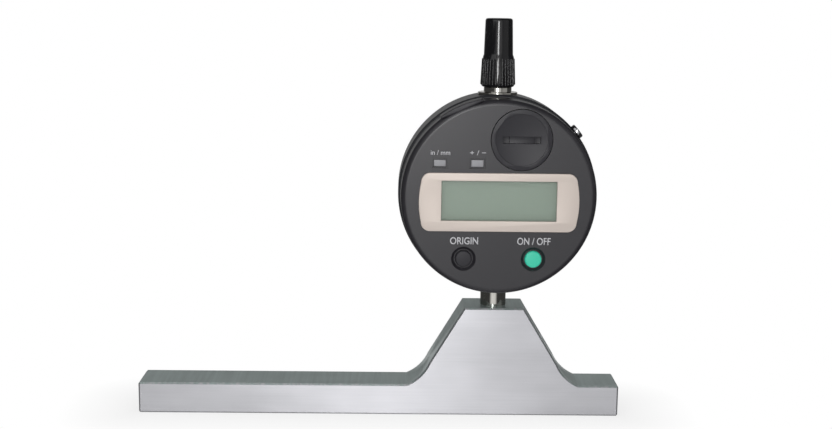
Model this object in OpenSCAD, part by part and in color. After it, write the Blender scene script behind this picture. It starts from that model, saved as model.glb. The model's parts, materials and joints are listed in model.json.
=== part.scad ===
// Depth gauge: a digital plunger indicator clamped by its stem in an offset depth base.
// The origin is the middle of the base's reference face, +Z up, the display faces -Y.

/* [Depth base] */
// Length of the base along X
base_len = 150; // [130:1:200]
// Thickness of the base, front to back
base_t = 13.8; // [12.5:0.1:16]
// Height of the bar at both ends of the base
bar_h = 9.8; // [8:0.1:11]
// Distance from the middle of the base to the spindle
spindle_x = 35.5; // [25:0.5:38]
// Height of the riser's top above the reference face
riser_h = 34.5; // [32:0.5:40]
// Width of the riser's top
riser_top_w = 18.5; // [15:0.5:22]
// Lean of the riser's flanks from upright, in degrees
flank_lean = 31; // [26:1:34]
// Radius of the cutter that sweeps the flank into the bar
fillet_r = 13; // [11:0.5:15]
// Height at which the flank turns into the fillet
fillet_z = 16.7; // [15.5:0.1:18]
// Lean of the fillet from upright where it starts, in degrees
fillet_lean = 23; // [20:1:27]
// Bevel on the long edges of the base
edge_break = 0.5; // [0.2:0.1:0.8]
// Diameter of the hole that the contact point passes through
probe_hole_d = 6.5; // [5.8:0.1:7]
// Height of the clamp screw above the reference face
clamp_z = 24; // [21:0.5:28]

/* [Stem and spindle] */
// Diameter of the indicator's stem
stem_d = 8; // [7.8:0.1:8.4]
// Depth of the stem's socket below the riser's top
stem_socket = 19.5; // [16:0.5:21]
// Bare length of the stem between the riser and the case
stem_bare = 5.9; // [4:0.1:12]
// Length of the stem inside the case
stem_in_case = 5.6; // [4.5:0.1:6.5]
// Diameter of the spindle
spindle_d = 5; // [4.6:0.1:5.2]
// Length of the plain bush at the foot of the stem
bush_len = 10; // [6:0.5:14]
// Length of the contact point below the spindle
contact_len = 7.5; // [6:0.1:10]
// Diameter of the ball at the tip
ball_d = 3; // [2:0.1:3.6]
// Travel of the spindle below the reference face
travel_down = 12.2; // [8:0.1:12.7]
// Travel of the spindle above the reference face
travel_up = 0.5; // [0.2:0.1:0.8]

/* [Case] */
// Outer diameter of the fixed rear case
case_d = 60.2; // [59:0.1:66]
// Wall of the rear case
case_wall = 2; // [1.4:0.1:2.4]
// Distance from the spindle axis back to the rear edge of the case
case_back = 5.5; // [5.2:0.1:8]
// Distance from the spindle axis forward to the joint with the head
case_front = 8; // [7.8:0.05:8.6]
// Width of the bevel on the front edge of the rear case
shoulder = 0.55; // [0.2:0.05:0.8]
// Thickness of the back cover
cover_t = 2; // [1.6:0.1:3]
// Distance of the cover screws in from the inside of the wall
cover_screw_in = 3.6; // [3.2:0.1:4]

/* [Rotating head] */
// Step from the case's rim in to the head's rim
head_step = 0.8; // [0.6:0.1:1.2]
// Distance from the spindle axis forward to the face
face_y = 16; // [15.8:0.1:17.5]
// Rounding between the flat face and the head's rim
rim_round = 1.7; // [1.2:0.1:1.9]
// Thickness of the face
face_t = 1.8; // [1.6:0.1:2]
// Thickness of the circuit board
board_t = 1; // [0.8:0.1:1.2]
// Thickness of the lip that the head turns on
lip_t = 2.4; // [2:0.1:2.6]
// Width of the lip, from the case's rim in to the head's spigot
lip_w = 4.1; // [3.8:0.1:4.4]

/* [Display] */
// Width of the display frame at its middle
frame_w = 47.8; // [45:0.1:49]
// Height of the display frame
frame_h = 17.6; // [16.5:0.1:18]
// Height of the frame's middle above the middle of the case
frame_z = -1.3; // [-1.5:0.1:-1.1]
// Corner radius of the frame
frame_corner = 2.8; // [1.5:0.1:4]
// Radius of the bulging ends of the frame
frame_end_r = 28.4; // [24:0.1:40]
// Height of the frame above the face
frame_proud = 0.5; // [0.2:0.05:0.8]
// Width of the display window
window_w = 34.4; // [30:0.1:36]
// Height of the display window
window_h = 12; // [10:0.1:13]
// Height of the window's middle above the middle of the case
window_z = -0.9; // [-1.1:0.1:-0.7]

/* [Keys] */
// Diameter of the two round buttons
button_d = 5; // [4:0.1:5.4]
// Distance of the round buttons below the middle of the case
button_drop = 18.5; // [17.5:0.1:19.5]
// Position of the origin button along X
origin_x = -10.3; // [-12:0.1:-9]
// Position of the power button along X
power_x = 10.6; // [9:0.1:12]
// Diameter of the dish round each round button
dish_d = 7.4; // [7:0.1:8]
// Width of the two small keys
key_w = 3.55; // [3:0.05:3.8]
// Height of the two small keys
key_h = 1.95; // [1.6:0.05:2.2]
// Height of the small keys above the middle of the case
key_z = 10.35; // [10.2:0.05:10.8]
// Position of the inch and millimetre key along X
unit_x = -17.8; // [-18:0.1:-16]
// Position of the sign key along X
sign_x = -6.65; // [-7:0.05:-6]
// Travel of each key
key_travel = 0.5; // [0.3:0.05:0.6]

/* [Battery] */
// Position of the battery cap along X
battery_x = 6.35; // [6:0.05:6.8]
// Height of the battery cap above the middle of the case
battery_z = 17.4; // [17:0.1:17.7]
// Diameter of the battery cap
cap_d = 18.1; // [17:0.1:18.4]
// Width of the raised rim of the battery cap
cap_rim = 1.35; // [0.8:0.05:2]
// Length of the coin slot
coin_l = 11.3; // [8:0.1:12.5]
// Width of the coin slot
coin_w = 2.1; // [1.6:0.1:2.4]
// Diameter of the button cell
cell_d = 11.6; // [11:0.1:11.8]
// Thickness of the button cell
cell_t = 5.4; // [4.6:0.1:5.6]

/* [Data connector] */
// Direction of the connector from the middle of the case, in degrees from +X
connector_angle = 113.5; // [110:0.5:118]
// Length of the connector cover along the rim
plug_w = 13.6; // [12.5:0.1:14]
// Depth of the connector's flat seat in the head's rim
seat_depth = 0.8; // [0.7:0.05:1]
// Pull of the connector cover
plug_pull = 4; // [3.4:0.1:6]

/* [Top] */
// Diameter of the sleeve's flange on top of the case
flange_d = 12.1; // [11:0.1:13]
// Thickness of the sleeve's flange
flange_t = 0.9; // [0.7:0.1:1.4]
// Diameter of the sleeve's neck
neck_d = 8.5; // [8.2:0.1:9]
// Height of the sleeve's neck above the flange
neck_h = 1.5; // [1:0.1:2.5]
// Height of the dust cap
dust_cap_h = 20.7; // [19:0.1:24]
// Diameter of the dust cap's top
dust_top_d = 8.3; // [8:0.1:9]
// Diameter of the dust cap's grip at its foot
dust_foot_d = 10.7; // [10:0.1:11.4]
// Height of the dust cap's grip
grip_h = 8.8; // [7:0.1:10]

/* [Lock screw] */
// Direction of the lock screw from the middle of the case, in degrees from +X
lock_angle = 39; // [33:1:45]
// Diameter of the lock screw's head
lock_head_d = 4.5; // [4:0.1:4.8]
// Height of the lock screw's head
lock_head_h = 1.2; // [0.9:0.1:2]

/* [Fits] */
// Radial clearance between fixed round pieces
seat_fit = 0.02; // [0.02:0.01:0.04]
// Radial clearance between pieces that run in each other
run_fit = 0.04; // [0.03:0.01:0.08]
// Gap between flat pieces that pass each other
pass_gap = 0.1; // [0.08:0.01:0.14]

/* [Hidden] */
$fn = 96;
eps = 0.01;

// Colours as the eye meets them
base_steel = "#b9b9bd";
turned_steel = "#c4c4c6";
black_plastic = "#26262a";
charcoal = "#4a494e";
case_grey = "#56575a";
champagne = "#d8cbc4";
lcd_green = "#84948a";
brass_tone = "#b89a5a";
board_green = "#2f6b45";
rubber_black = "#1c1c1e";

// Depth base
half_len = base_len / 2;
half_t = base_t / 2;
socket_floor = riser_h - stem_socket;
flank_x0 = riser_top_w / 2;
flank_x1 = flank_x0 + (riser_h - fillet_z) * tan(flank_lean);
fillet_cx = flank_x1 + fillet_r * cos(fillet_lean);
fillet_cz = fillet_z + fillet_r * sin(fillet_lean);
fillet_x1 = fillet_cx - sqrt(pow(fillet_r, 2) - pow(fillet_cz - bar_h, 2));
flank_len = (riser_h - fillet_z) / cos(flank_lean);
clamp_thread_d = 4;
clamp_len = 8;
clamp_socket_w = 2.3;
clamp_socket_depth = 2.2;
pad_t = 1.2;

// Case and head, measured from the spindle axis; y is negative towards the face
case_r = case_d / 2;
case_in_r = case_r - case_wall;
case_z = riser_h + stem_bare + case_r;
stem_r = stem_d / 2;
spindle_r = spindle_d / 2;
stem_top = case_z - case_r + stem_in_case;
head_r = case_r - head_step;
face_r = head_r - rim_round;
spigot_r = case_r - lip_w - pass_gap;
seat_r = head_r - seat_depth;
face_front = -face_y;
face_back = face_front + face_t;
head_back = -case_front - pass_gap;
head_wall = 2.1;
head_in_r = head_r - head_wall;
lip_back = -case_front + lip_t;
ring_front = lip_back + 2 * pass_gap;
ring_t = 0.7;
ring_back = ring_front + ring_t;
spigot_in_r = spigot_r - 1.9;
bearing_front = head_back - 1.9;
board_back = bearing_front;
board_front = board_back - board_t;
boss_front = ring_back + 0.15;
boss_w = 16;
boss_depth = 7;
cover_screw_r = case_in_r - cover_screw_in;
cover_screw_len = 9;
cover_screw_end = case_back + cover_t - cover_screw_len;
detector_screw_x = case_in_r - 7.1;
shelf_in_x = detector_screw_x - 5.5;
shelf_half_z = 5;
shelf_front = ring_back + 2 * pass_gap;

// Screws: radius of the shank and of the head
m2_r = 1;
m2_head_r = 1.95;
m2_head_h = 1;
m16_r = 0.8;
m16_head_r = 1.4;
m16_head_h = 0.6;
m12_r = 0.6;
m12_head_r = 1;
m12_head_h = 0.5;
screw_slot_depth = 0.3;

// Spindle stack
bumper_t = 1;
bumper_r = stem_r + 0.4;
collar_t = 3;
collar_r = stem_r + 0.3;
collar_foot = stem_top + bumper_t + travel_down + pass_gap;
flange_z = case_z + case_r - 0.6;
sleeve_foot = flange_z - boss_depth;
carrier_foot = collar_foot + collar_t + 0.7;
carrier_top = sleeve_foot - travel_up - 7.5;
carrier_h = carrier_top - carrier_foot;
carrier_w = 12;
carrier_screw_z = carrier_foot + 6;
carrier_front = -(spindle_r + 1);
carrier_back = spindle_r + 1.7;
scale_t = 0.8;
scale_w = 9;
scale_over = 2;
scale_front = carrier_front - scale_t;
detector_t = 0.8;
detector_w = 24;
detector_h = 21;
detector_arm_w = 8;
detector_back = scale_front - 2 * pass_gap;
detector_front = detector_back - detector_t;
guide_pin_r = 1;
guide_pin_z = carrier_foot + carrier_h / 2;
rail_x = 9;
rail_t = 2;
rail_half_w = 2.6;
rail_end = 3;
rail_foot_t = 1.2;
rail_foot_x = shelf_in_x + 2.5;
rail_foot_end = rail_foot_x + 4;
rail_screw_z = 2.2;
spring_x = -9.5;
lug_w = 3;
spring_r = 1.6;
spring_wire = 0.4;
spring_turns = 15;
spring_pin_r = 0.6;
spring_drop = 3;
spring_rise = 3.9;
spring_top_z = carrier_top - spring_drop;
spring_foot_z = stem_top + spring_rise;
spring_gap = 0.2;
lug_front = 2.2;
lug_t = 2;

// Sleeve, spindle top and dust cap
neck_z = flange_z + flange_t;
dust_foot = neck_z + neck_h;
dust_top = dust_foot + dust_cap_h;
sleeve_thread_r = 3.8;
sleeve_top_r = neck_d / 2 - 0.35;
sleeve_top = dust_foot + 5.6;
dust_wall_top = 1.5;
spindle_top = dust_top - dust_wall_top - travel_up - 1.1;

// Keys
flange_y = face_back + pass_gap;
key_flange_t = 0.8;
dome_h = 0.6;
key_tip = board_front - dome_h - key_travel - pass_gap;
button_front = face_front - 0.3;
key_front = face_front + 0.1;

// Battery and its cap
cap_r = cap_d / 2;
cell_r = cell_d / 2;
ledge_y = face_front + 1.5;
cap_hole_r = cap_r + 0.2;
well_r = cap_hole_r + 0.75;
cap_plug_r = cap_r - 1.45;
cap_front = face_front - 0.1;
cap_rim_h = 0.2;
coin_depth = 0.65;
coin_end = 2;
cap_back = ledge_y - 0.4;
seal_t = ledge_y - cap_back - 2 * seat_fit;
cell_front = ledge_y + 1.3;
cell_back = cell_front + cell_t;

// Places of the posts and screws, X and Z from the middle of the case
board_post_r = 1.5;
cover_posts = [for (a = [45:90:315]) [cover_screw_r * cos(a), cover_screw_r * sin(a)]];
ring_screw_r = (spigot_r + spigot_in_r) / 2;
ring_screw_spots = [for (a = [25, 150, 205, 335]) [ring_screw_r * cos(a), ring_screw_r * sin(a)]];
ring_post_r = 1.2;
board_r = ring_screw_r - ring_post_r - 2 * pass_gap;
board_screw_r = board_r - m16_head_r;
board_posts = [for (a = [29, 135, 215, 325]) [board_screw_r * cos(a), board_screw_r * sin(a)]];

module at_spindle() translate([spindle_x, 0, 0]) children();
module at_case() translate([spindle_x, 0, case_z]) children();

// A flat outline in X and Z, given a thickness from front to back
module along_y(front, back) {
    translate([0, back, 0]) rotate([90, 0, 0]) linear_extrude(back - front) children();
}

// A profile of radius and y, turned about the Y axis
module turned_y() rotate([-90, 0, 0]) rotate_extrude() children();

// A rod along Y at a place in X and Z
module rod_y(place, r, front, back) {
    translate([place[0], back, place[1]]) rotate([90, 0, 0]) cylinder(r = r, h = back - front);
}

// A cone along Y that grows from the front to the back
module cone_y(place, r_front, r_back, front, back) {
    translate([place[0], back, place[1]])
        rotate([90, 0, 0]) cylinder(r1 = r_back, r2 = r_front, h = back - front);
}

// A block between two corners
module block(low, high) translate(low) cube(high - low);

// A countersunk screw along Y with a straight slot, its head flush at the back
module flush_screw(place, r, head_r, front, back, head_h) {
    difference() {
        union() {
            rod_y(place, r, front, back - head_h + eps);
            cone_y(place, r, head_r, back - head_h, back);
        }
        translate([place[0], back, place[1]]) cube([2 * head_r + 1, head_h, r * 0.5], center = true);
    }
}

// ---------------------------------------------------------------- depth base

// A rectangle with bevelled corners
module bevelled(w, h) {
    e = edge_break;
    polygon([[-w / 2 + e, -h / 2], [w / 2 - e, -h / 2], [w / 2, -h / 2 + e], [w / 2, h / 2 - e],
        [w / 2 - e, h / 2], [-w / 2 + e, h / 2], [-w / 2, h / 2 - e], [-w / 2, -h / 2 + e]]);
}

// The bar, bevelled on all twelve edges
module bar() {
    intersection() {
        translate([-half_len, 0, bar_h / 2]) rotate([90, 0, 90]) linear_extrude(base_len) bevelled(base_t, bar_h);
        translate([0, half_t, bar_h / 2]) rotate([90, 0, 0]) linear_extrude(base_t) bevelled(base_len, bar_h);
        linear_extrude(bar_h) bevelled(base_len, base_t);
    }
}

// Outline of the riser, run on into the bar and past the fillets, which then cut it
module riser_outline() {
    past = 1.5;
    side_x = flank_x1 + past * tan(flank_lean);
    difference() {
        polygon([[-flank_x0, riser_h], [flank_x0, riser_h], [side_x, fillet_z - past],
            [fillet_x1 + past, bar_h + past], [fillet_x1 + past, bar_h / 2], [-fillet_x1 - past, bar_h / 2],
            [-fillet_x1 - past, bar_h + past], [-side_x, fillet_z - past]]);
        for (side = [-1, 1]) translate([side * fillet_cx, fillet_cz]) circle(r = fillet_r);
    }
}

// A square bar along an edge of the riser, turned on edge to bevel it
module edge_bevel(length) {
    side = edge_break * sqrt(2);
    rotate([45, 0, 0]) translate([-1, -side / 2, -side / 2]) cube([length + 1, side, side]);
}

module riser() {
    difference() {
        difference() {
            along_y(-half_t, half_t) riser_outline();
            for (front = [-1, 1]) translate([-riser_top_w, front * half_t, riser_h]) edge_bevel(2 * riser_top_w);
        }
        for (front = [-1, 1], side = [0, 1]) mirror([side, 0, 0])
            translate([flank_x0, front * half_t, riser_h]) rotate([0, 90 - flank_lean, 0]) edge_bevel(flank_len);
        for (side = [-1, 1]) translate([side * fillet_cx, 0, fillet_cz]) for (front = [0, 1])
            mirror([0, front, 0]) turned_y() polygon([[fillet_r - 2, -half_t - 1],
                [fillet_r + edge_break + 1, -half_t - 1], [fillet_r - 2, -half_t + edge_break + 2]]);
    }
}

module depth_base() {
    color(base_steel) difference() {
        union() {
            bar();
            at_spindle() riser();
        }
        at_spindle() {
            translate([0, 0, -1]) cylinder(d = probe_hole_d, h = socket_floor + 2);
            translate([0, 0, socket_floor]) cylinder(r = stem_r + seat_fit, h = stem_socket + 1);
            translate([0, 0, -eps])
                cylinder(d1 = probe_hole_d + 2 * edge_break, d2 = probe_hole_d, h = edge_break);
            translate([0, 0, clamp_z]) rotate([0, 90, 0])
                cylinder(d = clamp_thread_d + 2 * seat_fit, h = riser_h);
        }
    }
}

// Set screw that presses the pad on the stem, reached from the right flank
module clamp_screw() {
    color(black_plastic) at_spindle() translate([stem_r + pad_t + 2 * seat_fit, 0, clamp_z]) rotate([0, 90, 0])
        difference() {
            cylinder(d = clamp_thread_d, h = clamp_len);
            translate([0, 0, clamp_len - clamp_socket_depth])
                cylinder(d = clamp_socket_w, h = clamp_len, $fn = 6);
        }
}

// Pad with a hollow face that fits round the stem
module clamp_pad() {
    color(brass_tone) at_spindle() difference() {
        translate([stem_r - pad_t / 3, 0, clamp_z]) rotate([0, 90, 0])
            cylinder(d = clamp_thread_d - 2 * seat_fit, h = pad_t + pad_t / 3);
        translate([0, 0, clamp_z - clamp_thread_d]) cylinder(r = stem_r + seat_fit, h = 2 * clamp_thread_d);
    }
}

// ---------------------------------------------------------------- stem and rear case

module stem() {
    color(turned_steel) at_spindle() difference() {
        translate([0, 0, socket_floor]) cylinder(r = stem_r, h = stem_top - socket_floor);
        translate([0, 0, socket_floor - 1]) cylinder(r = spindle_r + 0.6, h = stem_top);
    }
}

module stem_bush() {
    color(brass_tone) at_spindle() difference() {
        translate([0, 0, socket_floor]) cylinder(r = spindle_r + 0.6 - seat_fit, h = bush_len);
        translate([0, 0, socket_floor - 1]) cylinder(r = spindle_r + run_fit, h = bush_len + 2);
    }
}

module stop_bumper() {
    color(rubber_black) at_spindle() translate([0, 0, stem_top]) difference() {
        cylinder(r = bumper_r, h = bumper_t);
        translate([0, 0, -1]) cylinder(r = spindle_r + 0.3, h = bumper_t + 2);
    }
}

module case_wall_profile() {
    polygon([[case_in_r, lip_back], [case_in_r, case_back], [case_r, case_back],
        [case_r, -case_front + shoulder * 2], [case_r - shoulder, -case_front],
        [spigot_r + pass_gap, -case_front], [spigot_r + pass_gap, lip_back]]);
}

// Pads inside the wall that carry the stem, the sleeve, the boards and the cover screws
module case_pads() {
    intersection() {
        rod_y([0, 0], case_r - 0.3, boss_front, case_back);
        union() {
            block([-boss_w / 2, boss_front, -case_r], [boss_w / 2, case_back, stem_top - case_z]);
            block([-boss_w / 2, boss_front, sleeve_foot - case_z], [boss_w / 2, case_back, case_r]);
            for (side = [-1, 1])
                block([side > 0 ? shelf_in_x : -case_r, shelf_front, -shelf_half_z],
                    [side > 0 ? case_r : -shelf_in_x, 0, shelf_half_z]);
            for (p = cover_posts) rod_y(p, cover_screw_in + 2 * pass_gap, cover_screw_end - m2_r, case_back);
            block([spring_x - lug_w / 2, lug_front, -case_r],
                [spring_x + lug_w / 2, lug_front + lug_t, spring_foot_z - case_z + lug_w / 2]);
        }
    }
}

module rear_case() {
    color(case_grey) at_case() difference() {
        union() {
            turned_y() case_wall_profile();
            case_pads();
        }
        translate([0, 0, -case_r - 1]) cylinder(r = stem_r + seat_fit, h = stem_in_case + 2);
        translate([0, 0, sleeve_foot - case_z - 1]) cylinder(r = sleeve_thread_r + seat_fit, h = boss_depth + 2);
        translate([0, 0, flange_z - case_z]) cylinder(d = flange_d + 4 * pass_gap, h = flange_d);
        for (p = cover_posts) rod_y(p, m2_r + seat_fit, cover_screw_end - pass_gap, case_back + 1);
        for (side = [-1, 1]) {
            rod_y([side * detector_screw_x, 0], m16_r + seat_fit, shelf_front - 1, detector_screw_back + 2 * pass_gap);
            rod_y([rail_foot_x, side * rail_screw_z], m12_r + seat_fit, rail_screw_front - 2 * pass_gap, 1);
        }
        rotate([0, -lock_angle, 0]) translate([0, lock_y, 0]) rotate([0, 90, 0]) {
            cylinder(r = m2_r + seat_fit, h = case_r + 2);
            translate([0, 0, lock_seat]) cylinder(d = lock_head_d + 0.4, h = 3);
        }
    }
}

module back_cover() {
    color(case_grey) at_case() difference() {
        turned_y() polygon([[0, case_back], [case_r, case_back], [case_r, case_back + cover_t - 1.2],
            [case_r - 0.35, case_back + cover_t - 0.35], [case_r - 1.2, case_back + cover_t],
            [0, case_back + cover_t]]);
        for (p = cover_posts) {
            rod_y(p, m2_r + pass_gap, case_back - 1, case_back + cover_t + 1);
            cone_y(p, m2_r + pass_gap, m2_head_r + 0.15, case_back + cover_t - m2_head_h - pass_gap,
                case_back + cover_t + eps);
        }
        translate([0, 0, flange_z - case_z]) cylinder(d = flange_d + 4 * pass_gap, h = flange_d);
    }
}

module back_cover_screws() {
    color(turned_steel) at_case() for (p = cover_posts)
        flush_screw(p, m2_r, m2_head_r, cover_screw_end, case_back + cover_t - 0.05, m2_head_h);
}

// Radial screw on the case that locks the head's spigot, half turn to loosen
lock_y = -case_front + lip_t / 2;
lock_seat = case_r - 0.15;
lock_bevel = 0.25;
module lock_screw() {
    color(turned_steel) at_case() rotate([0, -lock_angle, 0]) translate([0, lock_y, 0]) rotate([0, 90, 0])
        difference() {
            union() {
                translate([0, 0, spigot_r + pass_gap]) cylinder(r = m2_r, h = case_r - spigot_r - pass_gap);
                translate([0, 0, lock_seat + seat_fit]) cylinder(d = lock_head_d, h = lock_head_h - lock_bevel);
                translate([0, 0, lock_seat + seat_fit + lock_head_h - lock_bevel])
                    cylinder(d1 = lock_head_d, d2 = lock_head_d - 2 * lock_bevel, h = lock_bevel);
            }
            translate([0, 0, case_r + lock_head_h]) cube([lock_head_d + 1, 0.7, 1.1], center = true);
        }
}

// ---------------------------------------------------------------- sleeve and dust cap

module upper_sleeve() {
    color(turned_steel) at_spindle() difference() {
        union() {
            translate([0, 0, sleeve_foot]) cylinder(r = sleeve_thread_r, h = flange_z - sleeve_foot + eps);
            translate([0, 0, flange_z]) cylinder(d = flange_d, h = flange_t);
            translate([0, 0, neck_z]) cylinder(d = neck_d, h = neck_h);
            translate([0, 0, dust_foot - eps]) cylinder(r = sleeve_top_r, h = sleeve_top - dust_foot);
        }
        translate([0, 0, sleeve_foot - 1]) cylinder(r = spindle_r + run_fit, h = sleeve_top - sleeve_foot + 2);
    }
}

module dust_cap_profile() {
    top_r = dust_top_d / 2;
    foot_r = dust_foot_d / 2;
    grip_r = foot_r - 0.35;
    waist_r = top_r + 0.3;
    polygon([[sleeve_top_r + seat_fit, 0], [foot_r - 1, 0], [foot_r - 0.3, 0.2], [foot_r, 0.7],
        [grip_r, grip_h - 0.2], [grip_r - 0.1, grip_h], [waist_r, grip_h + 0.9],
        [top_r, dust_cap_h - 0.6], [top_r - 0.2, dust_cap_h - 0.17], [top_r - 0.6, dust_cap_h],
        [0, dust_cap_h], [0, dust_cap_h - dust_wall_top], [spindle_r + 0.5, dust_cap_h - dust_wall_top],
        [spindle_r + 0.5, sleeve_top - dust_foot + 0.6], [sleeve_top_r + seat_fit, sleeve_top - dust_foot + 0.1]]);
}

module dust_cap() {
    color(black_plastic) at_spindle() translate([0, 0, dust_foot]) rotate_extrude() dust_cap_profile();
}

// ---------------------------------------------------------------- detector and guide

detector_screw_back = shelf_front + 3;
module detector_board() {
    arm_end = detector_screw_x + 1.5;
    color(board_green) at_case() difference() {
        union() {
            block([-detector_w / 2, detector_front, -detector_h / 2], [detector_w / 2, detector_back, detector_h / 2]);
            block([-arm_end, detector_front, -detector_arm_w / 2], [arm_end, detector_back, detector_arm_w / 2]);
        }
        for (side = [-1, 1])
            rod_y([side * detector_screw_x, 0], m16_r + pass_gap, detector_front - 1, detector_back + 1);
    }
}

// Pan head screw that points to the back, with a straight slot
module pan_screw_back(place, r, head_r, head_h, head_y, back) {
    difference() {
        union() {
            rod_y(place, r, head_y, back);
            rod_y(place, head_r, head_y - head_h, head_y);
        }
        translate([place[0], head_y - head_h, place[1]])
            cube([2 * head_r + 1, 2 * screw_slot_depth, r / 2], center = true);
    }
}

// Pan head screw that points to the front, with a straight slot
module pan_screw_front(place, r, head_r, head_h, head_y, front) {
    difference() {
        union() {
            rod_y(place, r, front, head_y + eps);
            rod_y(place, head_r, head_y, head_y + head_h);
        }
        translate([place[0], head_y + head_h, place[1]])
            cube([2 * head_r + 1, 2 * screw_slot_depth, r / 2], center = true);
    }
}

module detector_screws() {
    color(turned_steel) at_case() for (side = [-1, 1])
        pan_screw_back([side * detector_screw_x, 0], m16_r, m16_head_r, m16_head_h, detector_front, detector_screw_back);
}

// Slotted rail that the guide pin slides in, so that the spindle can't turn
rail_screw_front = -2;
module guide_rail() {
    slot_low = guide_pin_z - travel_down - guide_pin_r - run_fit;
    slot_high = guide_pin_z + travel_up + guide_pin_r + run_fit;
    foot_half = shelf_half_z - 1;
    color(turned_steel) at_spindle() difference() {
        union() {
            block([rail_x, -rail_half_w, slot_low - rail_end], [rail_x + rail_t, rail_half_w, slot_high + rail_end]);
            block([rail_x, seat_fit, case_z - foot_half], [rail_foot_end, rail_foot_t, case_z + foot_half]);
        }
        block([rail_x - 1, -guide_pin_r - run_fit, slot_low], [rail_x + rail_t + 1, guide_pin_r + run_fit, slot_high]);
        for (side = [-1, 1]) rod_y([rail_foot_x, case_z + side * rail_screw_z], m12_r + pass_gap, -1, rail_foot_t + 1);
    }
}

module guide_rail_screws() {
    color(turned_steel) at_case() for (side = [-1, 1])
        pan_screw_front([rail_foot_x, side * rail_screw_z], m12_r, m12_head_r, m12_head_h, rail_foot_t, rail_screw_front);
}

module spring_post() {
    color(turned_steel) at_spindle()
        rod_y([spring_x, spring_foot_z], spring_pin_r, -spring_r - 0.2, lug_front);
}

// Extension spring that draws the spindle down
spring_low = spring_foot_z + spring_pin_r + spring_gap + spring_wire / 2;
spring_high = spring_top_z - spring_pin_r - spring_gap - spring_wire / 2;
spring_steps = 8 * spring_turns;
wire_sides = 6;
function spring_point(i) = let (a = 360 * spring_turns * i / spring_steps)
    [spring_r * cos(a), spring_r * sin(a), spring_low + (spring_high - spring_low) * i / spring_steps];
function wire_ring(i) = let (a = 360 * spring_turns * i / spring_steps, c = spring_point(i))
    [for (k = [0:wire_sides - 1]) let (b = 360 * k / wire_sides)
        c + spring_wire / 2 * [cos(b) * cos(a), cos(b) * sin(a), sin(b)]];
spring_points = [for (i = [0:spring_steps]) each wire_ring(i)];
spring_faces = concat(
    [[for (k = [0:wire_sides - 1]) k]],
    [for (i = [0:spring_steps - 1], k = [0:wire_sides - 1]) let (n = (k + 1) % wire_sides, a = i * wire_sides)
        each [[a + k, a + wire_sides + k, a + n], [a + n, a + wire_sides + k, a + wire_sides + n]]],
    [[for (k = [wire_sides - 1:-1:0]) spring_steps * wire_sides + k]]);

module return_spring() {
    color(turned_steel) at_spindle() translate([spring_x, 0, 0])
        polyhedron(points = spring_points, faces = spring_faces, convexity = 10);
}

// ---------------------------------------------------------------- spindle group

module spindle() {
    color(turned_steel) at_spindle() difference() {
        union() {
            translate([0, 0, contact_len]) cylinder(r = spindle_r, h = spindle_top - contact_len - 0.5);
            translate([0, 0, spindle_top - 0.5]) cylinder(r1 = spindle_r, r2 = spindle_r - 0.5, h = 0.5);
        }
        translate([0, 0, contact_len - 1]) cylinder(r = 1.25 + seat_fit, h = 6);
    }
}

module contact_point() {
    shank_r = spindle_r - 0.05;
    color(turned_steel) at_spindle() difference() {
        union() {
            rotate_extrude() polygon([[0, ball_d * 0.55], [ball_d / 2 + 0.05, ball_d * 0.55],
                [shank_r, ball_d + 1], [shank_r, contact_len - seat_fit], [0, contact_len - seat_fit]]);
            translate([0, 0, contact_len - 0.1]) cylinder(r = 1.25, h = 4.6);
        }
        translate([0, 0, ball_d / 2]) sphere(d = ball_d + 2 * seat_fit);
    }
}

module contact_ball() {
    color(turned_steel) at_spindle() translate([0, 0, ball_d / 2]) sphere(d = ball_d);
}

module stop_collar() {
    color(turned_steel) at_spindle() translate([0, 0, collar_foot]) difference() {
        cylinder(r = collar_r, h = collar_t);
        translate([0, 0, -1]) cylinder(r = spindle_r + seat_fit, h = collar_t + 2);
    }
}

module scale_carrier() {
    color("#8f9094") at_spindle() difference() {
        union() {
            block([-carrier_w / 2, carrier_front, carrier_foot], [carrier_w / 2, carrier_back, carrier_top]);
            block([spring_x - lug_w / 2, lug_front, spring_top_z - lug_w / 2], [0, carrier_back, spring_top_z + lug_w / 2]);
        }
        translate([0, 0, carrier_foot - 1]) cylinder(r = spindle_r + seat_fit, h = carrier_h + 2);
        translate([spindle_r, 0, guide_pin_z]) rotate([0, 90, 0]) cylinder(r = guide_pin_r + seat_fit, h = 10);
        rod_y([0, carrier_screw_z], m2_r + seat_fit, 0, 10);
    }
}

module carrier_screw() {
    color(black_plastic) at_spindle() difference() {
        rod_y([0, carrier_screw_z], m2_r, spindle_r + seat_fit, carrier_back);
        rod_y([0, carrier_screw_z], m2_r / 2, carrier_back - 0.8, carrier_back + 1);
    }
}

module main_scale() {
    color("#a8b4b8") at_spindle()
        block([-scale_w / 2, scale_front, carrier_foot - 0.4], [scale_w / 2, carrier_front, carrier_top + scale_over]);
}

module guide_pin() {
    color(turned_steel) at_spindle() translate([spindle_r + 0.3, 0, guide_pin_z]) rotate([0, 90, 0])
        cylinder(r = guide_pin_r, h = rail_x + rail_t - spindle_r - 0.5);
}

module spring_pin() {
    color(turned_steel) at_spindle()
        rod_y([spring_x, spring_top_z], spring_pin_r, -spring_r - 0.2, lug_front);
}

// ---------------------------------------------------------------- rotating head

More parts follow.
